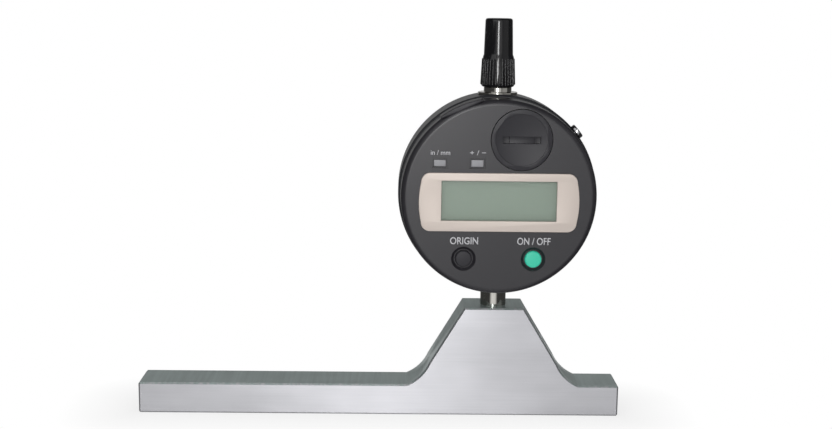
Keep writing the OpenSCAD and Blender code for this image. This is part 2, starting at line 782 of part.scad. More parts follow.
// Outline of the display frame: a straight band with bulging ends and round corners
module frame_outline(grow) {
    half_h = frame_h / 2 + grow;
    half_w = frame_w / 2 + grow;
    end_r = frame_end_r + grow;
    corner_z = half_h - frame_corner;
    corner_x = half_w - end_r + sqrt(pow(end_r, 2) - pow(corner_z, 2)) - frame_corner;
    translate([0, frame_z]) union() {
        intersection() {
            translate([end_r - half_w, 0]) circle(r = end_r, $fn = 180);
            translate([half_w - end_r, 0]) circle(r = end_r, $fn = 180);
            square([frame_w + 4, 2 * corner_z], center = true);
        }
        square([2 * corner_x, 2 * half_h], center = true);
        for (sx = [-1, 1], sz = [-1, 1]) translate([sx * corner_x, sz * corner_z]) circle(r = frame_corner);
    }
}

module window_outline(grow) {
    translate([0, window_z]) square([window_w + 2 * grow, window_h + 2 * grow], center = true);
}

// Front edge of the head, a quarter of an ellipse between the face and the wall
function rim_points(steps) = [for (i = [0:steps]) let (a = 90 * i / steps)
    [face_r + (head_r - face_r) * sin(a), face_front + head_r - face_r - (head_r - face_r) * cos(a)]];

module head_shell() {
    turned_y() polygon(concat([[0, face_front]], rim_points(8),
        [[head_r + 0.1, head_back], [head_in_r, head_back], [head_in_r, face_back], [0, face_back]]));
    rod_y([battery_x, battery_z], well_r, face_front + 0.5, board_front - seat_fit);
    for (p = board_posts) rod_y(p, board_post_r, face_back - eps, board_front - seat_fit);
    for (p = ring_screw_spots) rod_y(p, ring_post_r, face_back - eps, bearing_front - seat_fit);
}

module at_connector() rotate([0, -connector_angle, 0]) children();

module front_housing() {
    color(charcoal) at_case() difference() {
        intersection() {
            head_shell();
            rod_y([0, 0], head_r + 0.2, face_front, head_back);
        }
        along_y(face_front - 1, face_front + 0.6) frame_outline(0.05);
        along_y(face_front - 1, face_back + 1) window_outline(0.65);
        for (x = [origin_x, power_x]) {
            rod_y([x, -button_drop], button_d / 2 + pass_gap, face_front - 1, face_back + 1);
            cone_y([x, -button_drop], dish_d / 2 + eps, button_d / 2 + 0.4, face_front - eps, face_front + 0.8);
        }
        for (x = [unit_x, sign_x]) {
            translate([x, face_front, key_z]) cube([key_w + 1.15, 1.4, key_h + 1.15], center = true);
            translate([x, face_front, key_z]) cube([key_w + 2 * pass_gap, 5, key_h + 2 * pass_gap], center = true);
        }
        rod_y([battery_x, battery_z], cap_hole_r, face_front - 1, ledge_y);
        rod_y([battery_x, battery_z], cap_plug_r + 0.2, face_front - 1, cell_front - seat_fit);
        rod_y([battery_x, battery_z], cell_r + 0.25, face_front - 1, board_front + 1);
        for (p = board_posts) rod_y(p, m16_r + seat_fit, screw_end - 0.2, board_front + 1);
        for (p = ring_screw_spots) rod_y(p, m12_r + seat_fit, screw_end - 0.2, bearing_front + 1);
        at_connector() {
            block([seat_r, face_front - 1, -plug_w / 2 - pass_gap], [case_r + 2, plug_back + pass_gap, plug_w / 2 + pass_gap]);
            block([socket_in_r - 1, socket_front - pass_gap, -socket_w / 2 - pass_gap],
                [case_r, socket_back + pass_gap, socket_w / 2 + pass_gap]);
        }
    }
}

module display_frame() {
    color(champagne) at_case() difference() {
        along_y(face_front - frame_proud, face_front + 0.6 - seat_fit) frame_outline(0);
        along_y(face_front - 2, face_front + 2) window_outline(0);
    }
}

module display_window() {
    color("#c8d4cc") at_case()
        along_y(face_front + 0.6 + seat_fit, face_back - pass_gap) window_outline(0.6);
}

lcd_front = face_back + seat_fit;
lcd_back = lcd_front + 1.7;
lcd_grow = 1.6;
module lcd_panel() {
    color(lcd_green) at_case() along_y(lcd_front, lcd_back) window_outline(lcd_grow);
}

module lcd_holder() {
    color("#d9d9d4") at_case() difference() {
        along_y(lcd_front, board_front - seat_fit) window_outline(lcd_grow + 1.8);
        along_y(lcd_front - 1, board_front + 1) window_outline(lcd_grow + 0.05);
        rod_y([battery_x, battery_z], well_r + 2 * pass_gap, lcd_front - 1, board_front + 1);
    }
}

// Rubber strips that carry the segment lines from the board to the glass
strip_t = 1.4;
module contact_strips() {
    color("#7f8086") at_case() for (side = [-1, 1])
        translate([0, 0, window_z + side * (window_h / 2 + lcd_grow - strip_t / 2 - pass_gap)])
            block([-window_w / 2 - strip_t / 2, lcd_back + seat_fit, -strip_t / 2],
                [window_w / 2 + strip_t / 2, board_front - seat_fit, strip_t / 2]);
}

module circuit_board() {
    color(board_green) at_case() difference() {
        rod_y([0, 0], board_r, board_front, board_back);
        rod_y([battery_x, battery_z], cell_r + 0.4, board_front - 1, board_back + 1);
        for (p = board_posts) rod_y(p, m16_r + pass_gap, board_front - 1, board_back + 1);
    }
}

screw_end = face_back + 1;
module board_screws() {
    color(turned_steel) at_case() for (p = board_posts)
        pan_screw_front(p, m16_r, m16_head_r, m16_head_h, board_back, screw_end);
}

// Snap domes on the board under the four keys
module key_domes() {
    color("#c0c2c4") at_case() {
        for (x = [origin_x, power_x]) cone_y([x, -button_drop], 1, 2.2, board_front - dome_h, board_front);
        for (x = [unit_x, sign_x]) cone_y([x, key_z], 0.8, 1.8, board_front - dome_h, board_front);
    }
}

// Ring with the spigot that turns in the lip of the case
module bearing_ring() {
    color("#8f9094") at_case() difference() {
        turned_y() polygon([[spigot_in_r, bearing_front], [head_in_r - pass_gap, bearing_front],
            [head_in_r - pass_gap, head_back], [spigot_r, head_back], [spigot_r, ring_front], [spigot_in_r, ring_front]]);
        rod_y([battery_x, battery_z], cell_r + 0.4, bearing_front - 1, ring_front + 1);
        for (p = ring_screw_spots) rod_y(p, m12_r + pass_gap, bearing_front - 1, ring_front + 1);
    }
}

module retaining_ring() {
    color(turned_steel) at_case() difference() {
        turned_y() polygon([[spigot_in_r, ring_front + seat_fit], [spigot_r + 1.3, ring_front + seat_fit],
            [spigot_r + 1.3, ring_back], [spigot_in_r, ring_back]]);
        for (p = ring_screw_spots) {
            rod_y(p, m12_r + pass_gap, ring_front - 1, ring_back + 1);
            cone_y(p, m12_r + pass_gap, ring_head_r + seat_fit, ring_back - ring_head_h, ring_back + eps);
        }
    }
}

// Four long screws that clamp both rings to the housing
ring_head_r = 0.9;
ring_head_h = 0.3;
module retaining_ring_screws() {
    color("#9a9ca0") at_case() for (p = ring_screw_spots)
        flush_screw(p, m12_r, ring_head_r, screw_end, ring_back - seat_fit, ring_head_h);
}

// Flat cable wound like a watch spring, so that the head can turn on the case
flex_in_r = 7.5;
flex_pitch = 0.9;
flex_turns = 3;
flex_t = 0.15;
function flex_point(a, t) = (flex_in_r + flex_pitch * a / 360 + t) * [cos(a), sin(a)];
module flex_cable() {
    step = 12;
    last = 360 * flex_turns;
    color("#b5803a") at_case() {
        along_y(board_back + 0.6, detector_front - 0.3) polygon(concat(
            [for (a = [0:step:last]) flex_point(a, 0)], [for (a = [last:-step:0]) flex_point(a, flex_t)]));
        block([flex_in_r + flex_pitch * flex_turns - 2, board_back + seat_fit, -2],
            [flex_in_r + flex_pitch * flex_turns + 1.5, board_back + 0.6, 2]);
    }
}

// ---------------------------------------------------------------- battery

module battery() {
    color("#c9cacc") at_case() difference() {
        rod_y([battery_x, battery_z], cell_r, cell_front, cell_back);
        translate([battery_x, 0, battery_z]) turned_y() polygon([[cell_r - 0.7, cell_back - 0.3],
            [cell_r - 0.5, cell_back - 0.3], [cell_r - 0.5, cell_back + 1], [cell_r - 0.7, cell_back + 1]]);
    }
}

// Leaf over the back of the cell, with its foot on the board
module battery_clip() {
    clip_x = battery_x - cell_r - 2.4;
    leaf = cell_back + 0.05;
    color(brass_tone) at_case() translate([0, 0, battery_z]) {
        block([clip_x, leaf, -2], [battery_x + 3, leaf + 0.3, 2]);
        block([clip_x, board_back + seat_fit, -2], [clip_x + 0.3, leaf + 0.3, 2]);
        block([clip_x - 2.2, board_back + seat_fit, -2], [clip_x + 0.3, board_back + 0.32, 2]);
    }
}

// Curved strip that touches the side of the cell
module battery_side_contact() {
    color(brass_tone) at_case() translate([battery_x, 0, battery_z]) intersection() {
        difference() {
            rod_y([0, 0], cell_r + 0.3, board_front, cell_back - 0.8);
            rod_y([0, 0], cell_r + 0.05, board_front - 1, cell_back);
        }
        block([-cell_r / 2, board_front - 1, -cell_d], [cell_r / 2, cell_back, 0]);
    }
}

module battery_seal() {
    color(rubber_black) at_case() difference() {
        rod_y([battery_x, battery_z], cap_hole_r - 0.1, ledge_y - seat_fit - seal_t, ledge_y - seat_fit);
        rod_y([battery_x, battery_z], cap_plug_r + 0.25, cap_back, ledge_y + 1);
    }
}

module battery_cap() {
    color(black_plastic) at_case() difference() {
        union() {
            rod_y([battery_x, battery_z], cap_r, cap_front, cap_back);
            rod_y([battery_x, battery_z], cap_plug_r, cap_back - eps, cell_front - pass_gap);
            difference() {
                rod_y([battery_x, battery_z], cap_r, cap_front - cap_rim_h, cap_front + eps);
                rod_y([battery_x, battery_z], cap_r - cap_rim, cap_front - 1, cap_front + 1);
            }
        }
        translate([battery_x, cap_front, battery_z]) {
            cube([coin_l, 2 * coin_depth, coin_w], center = true);
            for (side = [-1, 1]) translate([side * (coin_l - coin_end) / 2, 0, 0])
                cube([coin_end, 4 * coin_depth, coin_w], center = true);
        }
    }
}

// ---------------------------------------------------------------- data connector

plug_back = face_front + 6.7;
socket_w = 11;
socket_front = face_back + 2 * pass_gap;
socket_back = board_front - pass_gap;
socket_in_r = 21.8;
socket_mid = (socket_front + socket_back) / 2;
slot_h = 1.7;
slot_w = 9.2;
slot_floor = 24;

module connector_socket() {
    color(black_plastic) at_case() at_connector() difference() {
        block([socket_in_r, socket_front, -socket_w / 2], [seat_r - seat_fit, socket_back, socket_w / 2]);
        block([slot_floor, socket_mid - slot_h / 2, -slot_w / 2], [seat_r + 1, socket_mid + slot_h / 2, slot_w / 2]);
    }
}

module connector_pins() {
    color(brass_tone) at_case() at_connector() for (i = [-2:2])
        block([slot_floor + seat_fit, socket_mid - 0.25, i * 1.6 - 0.25], [slot_floor + 1.2, socket_mid + 0.25, i * 1.6 + 0.25]);
}

// Cover that fills the flat seat and completes the rim, with a tongue in the socket
module connector_cover() {
    color(black_plastic) at_case() at_connector() {
        intersection() {
            block([seat_r + seat_fit, face_front + 0.1, -plug_w / 2], [case_r + 1, plug_back, plug_w / 2]);
            rod_y([0, 0], head_r + 0.55, face_front, plug_back + 1);
        }
        block([slot_floor + 1.5, socket_mid - slot_h / 2 + pass_gap, -slot_w / 2 + pass_gap],
            [seat_r + 0.3, socket_mid + slot_h / 2 - pass_gap, slot_w / 2 - pass_gap]);
    }
}

// ---------------------------------------------------------------- keys

module round_button(x) {
    at_case() {
        rod_y([x, -button_drop], button_d / 2, button_front + 0.25, flange_y + eps);
        cone_y([x, -button_drop], button_d / 2 - 0.3, button_d / 2, button_front, button_front + 0.25 + eps);
        rod_y([x, -button_drop], button_d / 2 + 0.7, flange_y, flange_y + key_flange_t);
        rod_y([x, -button_drop], 1.2, flange_y, key_tip);
    }
}

module small_key(x) {
    at_case() {
        block([x - key_w / 2, key_front, key_z - key_h / 2], [x + key_w / 2, flange_y + eps, key_z + key_h / 2]);
        block([x - key_w / 2 - 0.5, flange_y, key_z - key_h / 2 - 0.5],
            [x + key_w / 2 + 0.5, flange_y + key_flange_t, key_z + key_h / 2 + 0.5]);
        rod_y([x, key_z], 0.8, flange_y, key_tip);
    }
}

module origin_button() color(black_plastic) round_button(origin_x);
module power_button() color("#45c3a5") round_button(power_x);
module unit_key() color("#a0a0a4") small_key(unit_x);
module sign_key() color("#a0a0a4") small_key(sign_x);

depth_base();
clamp_screw();
clamp_pad();
stem();
stem_bush();
stop_bumper();
rear_case();
back_cover();
back_cover_screws();
upper_sleeve();
dust_cap();
lock_screw();
detector_board();
detector_screws();
guide_rail();
guide_rail_screws();
spring_post();
return_spring();
spindle();
contact_point();
contact_ball();
stop_collar();
scale_carrier();
carrier_screw();
main_scale();
guide_pin();
spring_pin();
front_housing();
display_frame();
display_window();
lcd_panel();
lcd_holder();
contact_strips();
circuit_board();
board_screws();
key_domes();
bearing_ring();
retaining_ring();
retaining_ring_screws();
flex_cable();
battery();
battery_clip();
battery_side_contact();
battery_seal();
battery_cap();
connector_socket();
connector_pins();
connector_cover();
origin_button();
power_button();
unit_key();
sign_key();
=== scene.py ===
"""Depth gauge: a round digital display head on a long ground steel base."""

import json
import math

import bmesh
import bpy
from mathutils import Matrix, Vector


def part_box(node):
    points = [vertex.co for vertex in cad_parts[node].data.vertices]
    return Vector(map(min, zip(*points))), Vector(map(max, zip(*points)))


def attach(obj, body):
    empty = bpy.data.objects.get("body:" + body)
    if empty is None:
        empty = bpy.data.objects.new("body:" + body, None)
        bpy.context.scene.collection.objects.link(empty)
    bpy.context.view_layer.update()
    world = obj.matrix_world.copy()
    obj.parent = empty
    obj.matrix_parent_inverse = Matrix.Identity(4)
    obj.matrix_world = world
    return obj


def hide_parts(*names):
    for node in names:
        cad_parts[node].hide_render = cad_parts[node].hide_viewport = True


bl_info = {
    "name": "Depth gauge",
    "version": (1, 0, 0),
    "blender": (4, 5, 0),
    "location": "View3D > Sidebar > Depth gauge",
    "description": "Finishes, lettering and small parts of a digital depth gauge",
    "category": "Object",
}

MM = 0.001
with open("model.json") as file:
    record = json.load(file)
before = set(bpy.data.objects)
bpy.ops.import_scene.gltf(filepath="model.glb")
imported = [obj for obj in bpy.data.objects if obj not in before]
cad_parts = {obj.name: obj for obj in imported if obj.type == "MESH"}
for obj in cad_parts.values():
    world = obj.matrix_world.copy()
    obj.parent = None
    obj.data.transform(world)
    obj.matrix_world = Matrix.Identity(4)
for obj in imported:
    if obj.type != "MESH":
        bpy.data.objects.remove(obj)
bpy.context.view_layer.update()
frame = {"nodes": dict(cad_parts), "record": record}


def linear(hex_value):
    """An sRGB hex value as linear red, green, blue."""
    parts = [int(hex_value[i:i + 2], 16) / 255 for i in (1, 3, 5)]
    return tuple(c / 12.92 if c <= 0.04045 else ((c + 0.055) / 1.055) ** 2.4 for c in parts)


def rgba(colour):
    return (colour[0], colour[1], colour[2], 1.0)


def box_mid(name):
    low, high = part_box(name)
    return (Vector(low) + Vector(high)) / 2


CASE_MID = box_mid("rear_case")
CASE_R = (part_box("rear_case")[1][2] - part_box("rear_case")[0][2]) / 2
FACE_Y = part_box("front_housing")[0][1]
DUST_LOW, DUST_HIGH = (Vector(v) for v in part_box("dust_cap"))


# ---------------------------------------------------------------- settings

class GaugeFinish(bpy.types.PropertyGroup):
    """Colours of the gauge's finishes."""

    ground: bpy.props.FloatVectorProperty(
        name="Ground steel", description="Front and back of the base", subtype="COLOR",
        default=linear("#b9b9bd"), min=0, max=1)
    milled: bpy.props.FloatVectorProperty(
        name="Milled steel", description="Tops and flanks of the base", subtype="COLOR",
        default=linear("#b2bfbd"), min=0, max=1)
    turned: bpy.props.FloatVectorProperty(
        name="Turned steel", description="Plunger and screws", subtype="COLOR",
        default=linear("#a4a29e"), min=0, max=1)
    hardened: bpy.props.FloatVectorProperty(
        name="Hardened steel", description="Stem and upper sleeve", subtype="COLOR",
        default=linear("#c2c0ba"), min=0, max=1)
    face: bpy.props.FloatVectorProperty(
        name="Face", description="Moulded front of the head", subtype="COLOR",
        default=linear("#28272b"), min=0, max=1)
    case: bpy.props.FloatVectorProperty(
        name="Case", description="Lacquered rear case and its lid", subtype="COLOR",
        default=linear("#2c2d30"), min=0, max=1)
    black: bpy.props.FloatVectorProperty(
        name="Black plastic", description="Dust cap", subtype="COLOR",
        default=linear("#131315"), min=0, max=1)
    charcoal: bpy.props.FloatVectorProperty(
        name="Charcoal plastic", description="Battery cap, connector cover and origin button",
        subtype="COLOR", default=linear("#252429"), min=0, max=1)
    frame: bpy.props.FloatVectorProperty(
        name="Display frame", description="Champagne anodised frame", subtype="COLOR",
        default=linear("#c8bdb5"), min=0, max=1)
    lcd: bpy.props.FloatVectorProperty(
        name="Display", description="Liquid crystal panel, switched off", subtype="COLOR",
        default=linear("#637a64"), min=0, max=1)
    power: bpy.props.FloatVectorProperty(
        name="Power button", description="Green round button", subtype="COLOR",
        default=linear("#33c4a4"), min=0, max=1)
    key: bpy.props.FloatVectorProperty(
        name="Small keys", description="Grey keys above the display", subtype="COLOR",
        default=linear("#8e8e92"), min=0, max=1)
    ink: bpy.props.FloatVectorProperty(
        name="Lettering", description="Printed words on the face", subtype="COLOR",
        default=linear("#c4c4c8"), min=0, max=1)


class GaugeSizes(bpy.types.PropertyGroup):
    """Sizes of the small parts that the finishing adds."""

    word_height: bpy.props.FloatProperty(
        name="Word height", description="Cap height of the words by the round buttons",
        default=2.2 * MM, min=1 * MM, max=3 * MM, unit="LENGTH", precision=5)
    key_word_height: bpy.props.FloatProperty(
        name="Key word height", description="Height of the marks above the small keys",
        default=1.4 * MM, min=0.8 * MM, max=2 * MM, unit="LENGTH", precision=5)
    ink_depth: bpy.props.FloatProperty(
        name="Ink thickness", description="Thickness of the printed words",
        default=0.02 * MM, min=0.01 * MM, max=0.1 * MM, unit="LENGTH", precision=6)
    rib_count: bpy.props.IntProperty(
        name="Ribs", description="Ribs round the dust cap's grip", default=32, min=12, max=60)
    rib_height: bpy.props.FloatProperty(
        name="Rib height", description="How far the ribs stand out",
        default=0.2 * MM, min=0.05 * MM, max=0.4 * MM, unit="LENGTH", precision=5)
    rib_radius: bpy.props.FloatProperty(
        name="Rib radius", description="Radius of the rounded ribs",
        default=0.28 * MM, min=0.1 * MM, max=0.5 * MM, unit="LENGTH", precision=5)
    grip_height: bpy.props.FloatProperty(
        name="Grip height", description="Height of the ribbed grip on the dust cap",
        default=8.8 * MM, min=4 * MM, max=12 * MM, unit="LENGTH", precision=5)
    edge: bpy.props.FloatProperty(
        name="Edge rounding", description="Rounding on the edges of moulded pieces",
        default=0.18 * MM, min=0.02 * MM, max=0.4 * MM, unit="LENGTH", precision=5)


class GaugeStage(bpy.types.PropertyGroup):
    """Camera and light."""

    lens: bpy.props.FloatProperty(
        name="Lens", description="Focal length on a 36 mm wide sensor",
        default=55.1, min=10, max=200, unit="CAMERA")
    eye: bpy.props.FloatVectorProperty(
        name="Camera place", description="Where the camera stands", size=3,
        default=(6.1 * MM, -389.5 * MM, 130.7 * MM), subtype="TRANSLATION", unit="LENGTH")
    turn: bpy.props.FloatVectorProperty(
        name="Camera turn", description="Yaw to the right, pitch down and roll", size=3,
        default=(0.01266, 0.17323, 0.01214), subtype="EULER", unit="ROTATION")
    world_light: bpy.props.FloatProperty(
        name="World light", description="Soft light from all round", default=0.36, min=0, max=2)
    zenith_light: bpy.props.FloatProperty(
        name="Zenith", description="Brightness of the surroundings straight above, where 1 is white",
        default=0.3, min=0, max=1)
    side_light: bpy.props.FloatProperty(
        name="Side light", description="Brightness that reflections meet beside the gauge",
        default=0.06, min=0, max=1)
    back_light: bpy.props.FloatProperty(
        name="Back light", description="Brightness that reflections meet behind the gauge",
        default=0.5, min=0, max=1)
    strip_power: bpy.props.FloatProperty(
        name="Strip light", description="Power of the narrow upright lamp behind the camera",
        default=1.6, min=0, max=50, unit="POWER")
    key_power: bpy.props.FloatProperty(
        name="Key light", description="Power of the large lamp at the upper left",
        default=1.5, min=0, max=50, unit="POWER")
    fill_power: bpy.props.FloatProperty(
        name="Fill light", description="Power of the lamp at the right",
        default=0.7, min=0, max=50, unit="POWER")


# ---------------------------------------------------------------- materials

# Length of each steel pattern along X, Y and Z. Grinding lines run along the bar, 0.15 mm apart on the
# real one and drawn at 0.5 mm so that they show, and milling marks cross the tops.
GRINDING_LINES = (26 * MM, 0.5 * MM, 0.5 * MM)
MILLING_MARKS = (1.2 * MM, 25 * MM, 4 * MM)
DULLED_PATCHES = (30 * MM, 14 * MM, 14 * MM)
# Size of the noise that breaks the painted highlight on the broken edges into short ticks
HIGHLIGHT_TICKS = (1.6 * MM, 1.6 * MM, 1.6 * MM)
# Turning lines, 0.2 mm apart on the real one and drawn at 0.35 mm so that they show
TURNING_LINES = (20 * MM, 20 * MM, 0.35 * MM)
# Bump of the steel's lines
LINE_STRENGTH = 0.12
LINE_HEIGHT = 0.01 * MM
# Upward share of the normal where ground sides give way to milled tops
MILLED_FROM, MILLED_FULL = 0.30, 0.45
# Share of the normal, forwards and upwards, on the broken edges between them, which get a painted highlight
BROKEN_EDGE = (0.5, 0.9)
# Colour of the painted highlight on the broken edges
EDGE_HIGHLIGHT = "#c4c6c8"


def add_node(tree, kind, settings=None, links=None):
    """Adds a node, sets its properties and unlinked inputs, and links its other inputs."""
    node = tree.nodes.new(kind)
    for name, value in (settings or {}).items():
        if isinstance(name, str) and hasattr(node, name):
            setattr(node, name, value)
        else:
            node.inputs[name].default_value = value
    for name, source in (links or {}).items():
        tree.links.new(source, node.inputs[name])
    return node


def new_material(name):
    """An empty material with its Principled shader, which is returned with the tree."""
    material = bpy.data.materials.new(name)
    material.use_nodes = True
    tree = material.node_tree
    return material, tree, tree.nodes["Principled BSDF"]


def set_shader(shader, colour=None, metallic=0.0, roughness=0.5, **more):
    if colour is not None:
        shader.inputs["Base Color"].default_value = rgba(colour)
    shader.inputs["Metallic"].default_value = metallic
    shader.inputs["Roughness"].default_value = roughness
    for name, value in more.items():
        shader.inputs[name.replace("_", " ")].default_value = value


def streaks(tree, stretch, detail=3.0):
    """Noise on object coordinates, with the pattern's length in metres along each axis."""
    place = add_node(tree, "ShaderNodeTexCoord")
    scaled = add_node(tree, "ShaderNodeMapping", {"Scale": tuple(1 / s for s in stretch)},
                      {"Vector": place.outputs["Object"]})
    return add_node(tree, "ShaderNodeTexNoise", {"Scale": 1.0, "Detail": detail, "Roughness": 0.6},
                    {"Vector": scaled.outputs["Vector"]})


def relief(tree, shader, pattern, strength, height):
    """Bump from a pattern, with its height in metres."""
    bump = add_node(tree, "ShaderNodeBump", {"Strength": strength, "Distance": height},
                    {"Height": pattern.outputs["Fac"]})
    tree.links.new(bump.outputs["Normal"], shader.inputs["Normal"])


def grain(tree, shader, size_mm, height_mm, strength=0.4):
    """Fine moulded grain, as bump."""
    relief(tree, shader, streaks(tree, (size_mm * MM,) * 3, 2.0), strength, height_mm * MM)


def worked_round(tree, shader, axis):
    """Stretches the highlight by the direction of lines that run round an axis."""
    tangent = add_node(tree, "ShaderNodeTangent", {"direction_type": "RADIAL", "axis": axis})
    tree.links.new(tangent.outputs["Tangent"], shader.inputs["Tangent"])


def two_tone(tree, colour, spread, factor):
    """A colour that a pattern takes darker and lighter by a share of itself."""
    dark = rgba([c * (1 - spread) for c in colour])
    light = rgba([min(1, c * (1 + spread)) for c in colour])
    return add_node(tree, "ShaderNodeMix", {"data_type": "RGBA", 6: dark, 7: light},
                    {0: factor}).outputs[2]


def dulled(tree, colour, level):
    """A colour times a level."""
    return add_node(tree, "ShaderNodeMix", {"data_type": "RGBA", "blend_type": "MULTIPLY", 0: 1.0},
                    {6: colour, 7: level}).outputs[2]


def between(tree, value, low, high):
    """1 where a value lies between two limits, else 0."""
    above = add_node(tree, "ShaderNodeMath", {"operation": "GREATER_THAN", 1: low}, {0: value})
    below = add_node(tree, "ShaderNodeMath", {"operation": "LESS_THAN", 1: high}, {0: value})
    return add_node(tree, "ShaderNodeMath", {"operation": "MULTIPLY"},
                    {0: above.outputs[0], 1: below.outputs[0]}).outputs[0]


def ground_tool_steel(finish):
    """Tool steel. Surface ground front and back, whose lines stretch a highlight up and down,
    with darker milled tops and flanks, and a painted highlight in short ticks where the top edges are broken."""
    material, tree, shader = new_material("ground tool steel")
    set_shader(shader, metallic=0.75, roughness=0.36, Anisotropic=0.75)
    worked_round(tree, shader, "X")
    place = add_node(tree, "ShaderNodeTexCoord")
    axes = add_node(tree, "ShaderNodeSeparateXYZ", links={"Vector": place.outputs["Normal"]})
    lines = streaks(tree, GRINDING_LINES)
    marks = streaks(tree, MILLING_MARKS)
    patches = streaks(tree, DULLED_PATCHES, 2.0)
    # Noise that breaks the painted highlight on the broken edges into short ticks
    tick_noise = streaks(tree, HIGHLIGHT_TICKS)
    handled = add_node(tree, "ShaderNodeMapRange",
                       {"From Min": 0.3, "From Max": 0.7, "To Min": 0.86, "To Max": 1.0},
                       {"Value": patches.outputs["Fac"]}).outputs["Result"]
    ground = dulled(tree, two_tone(tree, finish.ground, 0.07, lines.outputs["Fac"]), handled)
    milled = dulled(tree, two_tone(tree, finish.milled, 0.22, marks.outputs["Fac"]), handled)
    top = add_node(tree, "ShaderNodeMapRange", {"From Min": MILLED_FROM, "From Max": MILLED_FULL},
                   {"Value": axes.outputs["Z"]})
    colour = add_node(tree, "ShaderNodeMix", {"data_type": "RGBA"},
                      {0: top.outputs["Result"], 6: ground, 7: milled})
    edge_y = add_node(tree, "ShaderNodeMath", {"operation": "ABSOLUTE"}, {0: axes.outputs["Y"]})
    on_edge = add_node(tree, "ShaderNodeMath", {"operation": "MULTIPLY"},
                       {0: between(tree, edge_y.outputs[0], *BROKEN_EDGE),
                        1: between(tree, axes.outputs["Z"], *BROKEN_EDGE)})
    ticks = add_node(tree, "ShaderNodeMapRange", {"From Min": 0.45, "From Max": 0.62},
                      {"Value": tick_noise.outputs["Fac"]})
    bright = add_node(tree, "ShaderNodeMath", {"operation": "MULTIPLY"},
                      {0: on_edge.outputs[0], 1: ticks.outputs["Result"]})
    # Painted highlight: a pale colour on the broken edges wherever the tick noise allows it
    edged = add_node(tree, "ShaderNodeMix", {"data_type": "RGBA", 7: rgba(linear(EDGE_HIGHLIGHT))},
                     {0: bright.outputs[0], 6: colour.outputs[2]})
    tree.links.new(edged.outputs[2], shader.inputs["Base Color"])
    relief(tree, shader, lines, LINE_STRENGTH, LINE_HEIGHT)
    return material


def turned_steel(name, colour, roughness):
    """Steel turned on a lathe: its rings draw a highlight out into a line along the shaft."""
    material, tree, shader = new_material(name)
    set_shader(shader, metallic=1.0, roughness=roughness, Anisotropic=0.6, Anisotropic_Rotation=0.25)
    worked_round(tree, shader, "Z")
    lines = streaks(tree, TURNING_LINES)
    tree.links.new(two_tone(tree, colour, 0.08, lines.outputs["Fac"]), shader.inputs["Base Color"])
    relief(tree, shader, lines, LINE_STRENGTH, LINE_HEIGHT)
    return material


def plain_metal(name, hex_value, roughness):
    material, _, shader = new_material(name)
    set_shader(shader, linear(hex_value), 1.0, roughness)
    return material


def moulded_plastic(name, colour, roughness, grain_mm=0.25, specular=0.5, depth_mm=0.006):
    """Moulded ABS: the mould's fine spark-eroded grain breaks the highlight up."""
    material, tree, shader = new_material(name)
    set_shader(shader, colour, 0.0, roughness, Specular_IOR_Level=specular)
    grain(tree, shader, grain_mm, depth_mm)
    return material


def lacquered_casting(finish):
    """Zinc die casting with a satin dark lacquer."""
    material, tree, shader = new_material("lacquered casting")
    set_shader(shader, finish.case, 0.0, 0.42, Specular_IOR_Level=0.3, Coat_Weight=0.1, Coat_Roughness=0.3)
    grain(tree, shader, 0.4, 0.006, 0.3)
    return material


def anodised_frame(finish):
    """Aluminium, bead blasted and champagne anodised: pale, with a broad soft sheen."""
    material, tree, shader = new_material("anodised aluminium")
    set_shader(shader, finish.frame, 0.25, 0.5)
    grain(tree, shader, 0.18, 0.004, 0.3)
    return material


def crystal_panel(finish):
    """Liquid crystal cell behind its polariser: grey green, even, slightly glossy."""
    material, _, shader = new_material("liquid crystal panel")
    set_shader(shader, finish.lcd, 0.0, 0.35)
    return material


def clear_window():
    """Clear acrylic, polished: seen only by its reflection."""
    material, _, shader = new_material("clear acrylic")
    set_shader(shader, linear("#dfe8e2"), 0.0, 0.06, IOR=1.49, Alpha=0.12)
    return material


def printed_ink(finish):
    """Pad-printed ink, thin and matt."""
    material, _, shader = new_material("printed ink")
    set_shader(shader, finish.ink, 0.0, 0.6, Specular_IOR_Level=0.3)
    return material


